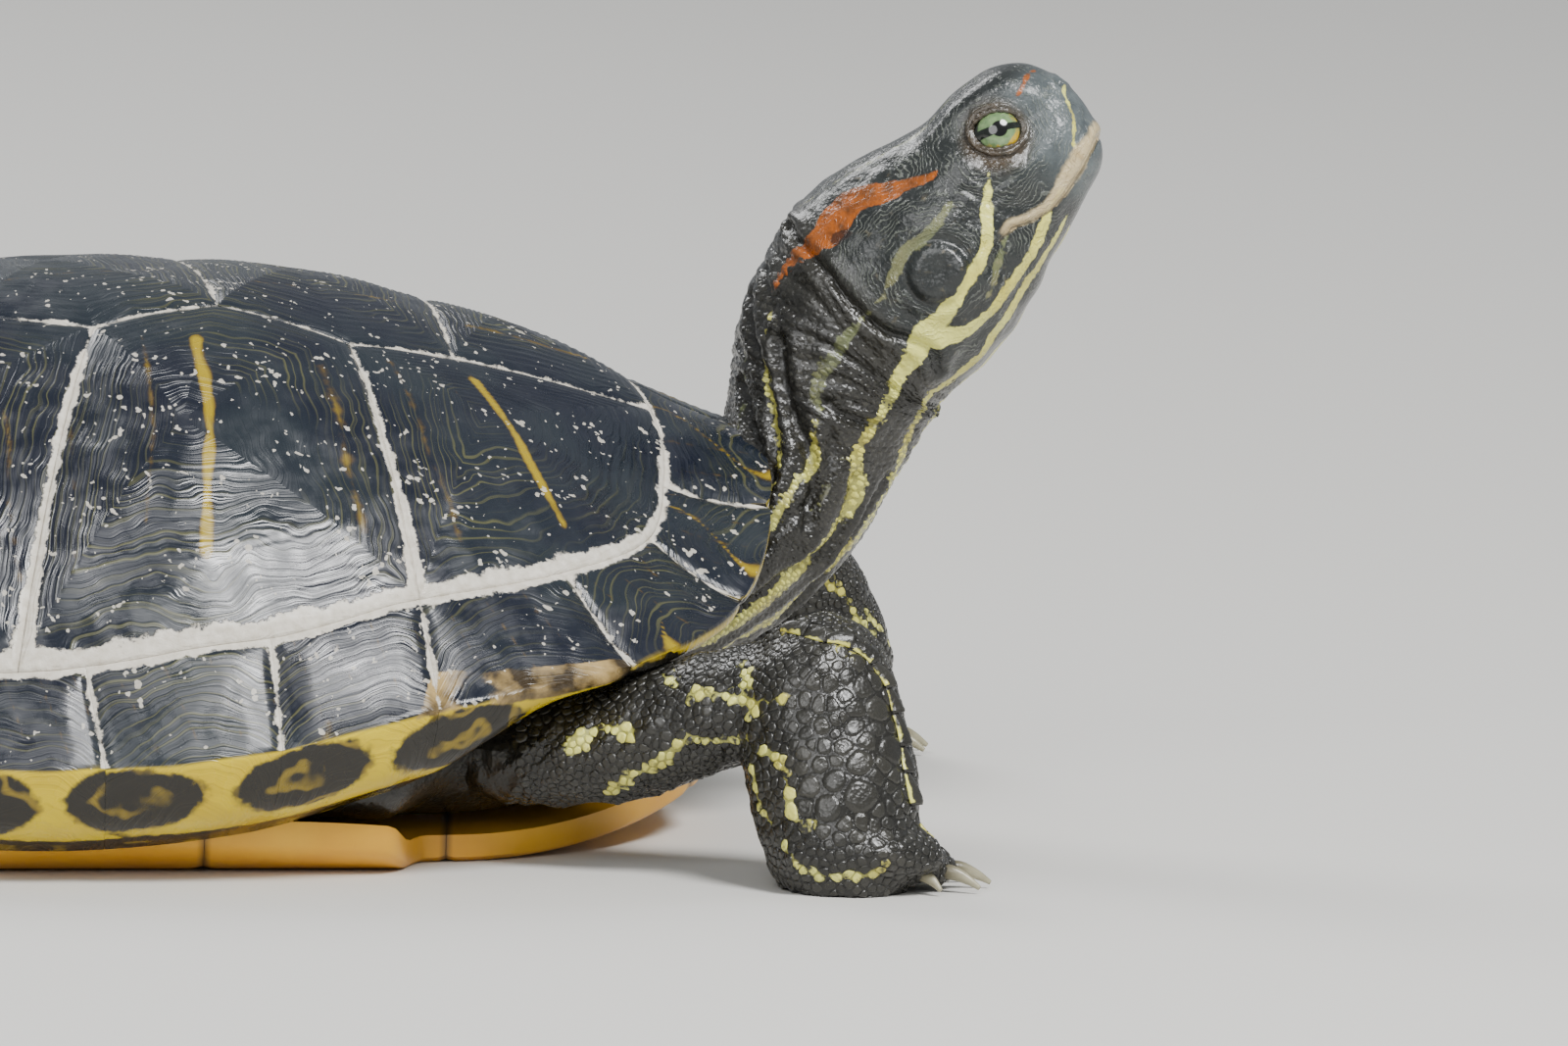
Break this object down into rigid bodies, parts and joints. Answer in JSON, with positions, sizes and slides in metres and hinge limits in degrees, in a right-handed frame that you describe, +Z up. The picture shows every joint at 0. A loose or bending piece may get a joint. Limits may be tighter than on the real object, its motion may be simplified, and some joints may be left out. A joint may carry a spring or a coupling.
{
  "type": "red-eared slider turtle model",
  "caption": "Still life-size turtle with a domed scuted shell, raised head on a bent neck, four clawed feet flat on the floor and a short tail.",
  "frame": {"origin": "on the floor, in the middle of the flat underside of the plastron, on the midline", "axes": "+X points forward to the head end, +Y to the animal's left, +Z up"},
  "size_m": [0.3218, 0.2356, 0.1267],
  "materials": {
    "carapace_horn": "dark olive to blue-black horn scutes, worn glossy, with pale mineral crust along the seams and faded yellow bars",
    "plastron_horn": "yellow to orange horn with dark smudges",
    "skin": "dark grey-green scaly skin with pale yellow stripes and a red-orange stripe behind the eye; pale horn beak and claws",
    "eye": "wet green iris with a dark bar through the pupil"
  },
  "bodies": {
    "root": {"abdominal": "plastron_horn", "anal": "plastron_horn", "costal_left_1": "carapace_horn", "costal_left_2": "carapace_horn", "costal_left_3": "carapace_horn", "costal_left_4": "carapace_horn", "costal_right_1": "carapace_horn", "costal_right_2": "carapace_horn", "costal_right_3": "carapace_horn", "costal_right_4": "carapace_horn", "eye_left": "eye", "eye_right": "eye", "femoral": "plastron_horn", "foreleg_left": "skin", "foreleg_right": "skin", "gular": "plastron_horn", "head": "skin", "hindleg_left": "skin", "hindleg_right": "skin", "humeral": "plastron_horn", "lower_jaw": "skin", "marginal_left_1": "carapace_horn", "marginal_left_10": "carapace_horn", "marginal_left_11": "carapace_horn", "marginal_left_12": "carapace_horn", "marginal_left_2": "carapace_horn", "marginal_left_3": "carapace_horn", "marginal_left_4": "carapace_horn", "marginal_left_5": "carapace_horn", "marginal_left_6": "carapace_horn", "marginal_left_7": "carapace_horn", "marginal_left_8": "carapace_horn", "marginal_left_9": "carapace_horn", "marginal_right_1": "carapace_horn", "marginal_right_10": "carapace_horn", "marginal_right_11": "carapace_horn", "marginal_right_12": "carapace_horn", "marginal_right_2": "carapace_horn", "marginal_right_3": "carapace_horn", "marginal_right_4": "carapace_horn", "marginal_right_5": "carapace_horn", "marginal_right_6": "carapace_horn", "marginal_right_7": "carapace_horn", "marginal_right_8": "carapace_horn", "marginal_right_9": "carapace_horn", "neck": "skin", "nuchal": "carapace_horn", "pectoral": "plastron_horn", "tail": "skin", "trunk": "skin", "vertebral_1": "carapace_horn", "vertebral_2": "carapace_horn", "vertebral_3": "carapace_horn", "vertebral_4": "carapace_horn", "vertebral_5": "carapace_horn"}
  },
  "joints": []
}
